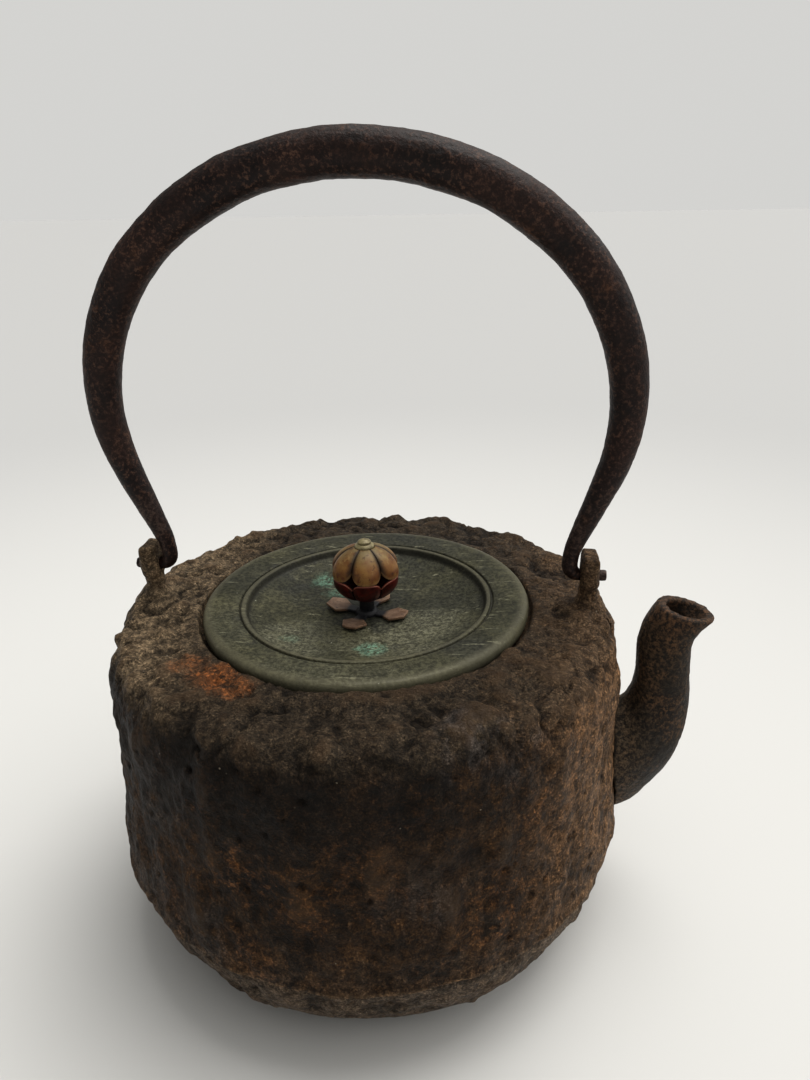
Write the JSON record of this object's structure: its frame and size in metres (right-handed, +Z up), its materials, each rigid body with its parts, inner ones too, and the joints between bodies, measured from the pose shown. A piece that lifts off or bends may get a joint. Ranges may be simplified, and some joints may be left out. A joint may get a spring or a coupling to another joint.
{
  "type": "cast iron kettle",
  "caption": "Straight-walled cast iron kettle with a curved spout, a swinging arched bail handle, and a lift-off bronze lid with a petalled copper bud knob.",
  "frame": {"origin": "centre of the flat base", "axes": "+Z up, +X along the spout and through both handle lugs, +Y towards the back"},
  "size_m": [0.1862, 0.1612, 0.2385],
  "materials": {
    "body_iron": "rough rusted sand-cast iron, pitted and crusted",
    "spout_iron": "finer cast iron with a thin brown rust",
    "forged_iron": "hand-forged iron, dark brown and smooth, lightly hammered",
    "lid_bronze": "aged bronze, olive grey-green patina, satin, finely scratched",
    "dark_copper": "darkened copper sheet",
    "red_copper": "deep red patinated copper, satin",
    "tan_copper": "tan-brown patinated copper, satin",
    "pale_brass": "dull pale brass"
  },
  "bodies": {
    "kettle": {"body_shell": "body_iron", "bottom_pan": "body_iron", "spout": "spout_iron", "lug_left": "body_iron", "lug_right": "body_iron"},
    "handle": {"handle_grip": "forged_iron", "handle_end_left": "forged_iron", "handle_end_right": "forged_iron"},
    "lid": {"lid_plate": "lid_bronze", "lid_locating_ring": "lid_bronze", "knob_seat": "dark_copper", "lid_under_washer": "dark_copper"},
    "knob": {"knob_stem": "dark_copper", "knob_lower_cup": "red_copper", "knob_upper_bud": "tan_copper", "knob_collar": "pale_brass", "knob_finial": "pale_brass"}
  },
  "joints": [
    {"name": "handle_swing", "type": "hinge", "parent": "kettle", "child": "handle", "pos_m": [0, 0, 0.117], "axis": [1, 0, 0], "range_deg": [-100, 100]},
    {"name": "lid_lift", "type": "slide", "parent": "kettle", "child": "lid", "axis": [0, 0, 1], "range_m": [0, 0.06]},
    {"name": "knob_turn", "type": "hinge", "parent": "lid", "child": "knob", "pos_m": [0, 0, 0.116], "axis": [0, 0, 1], "continuous": true}
  ]
}
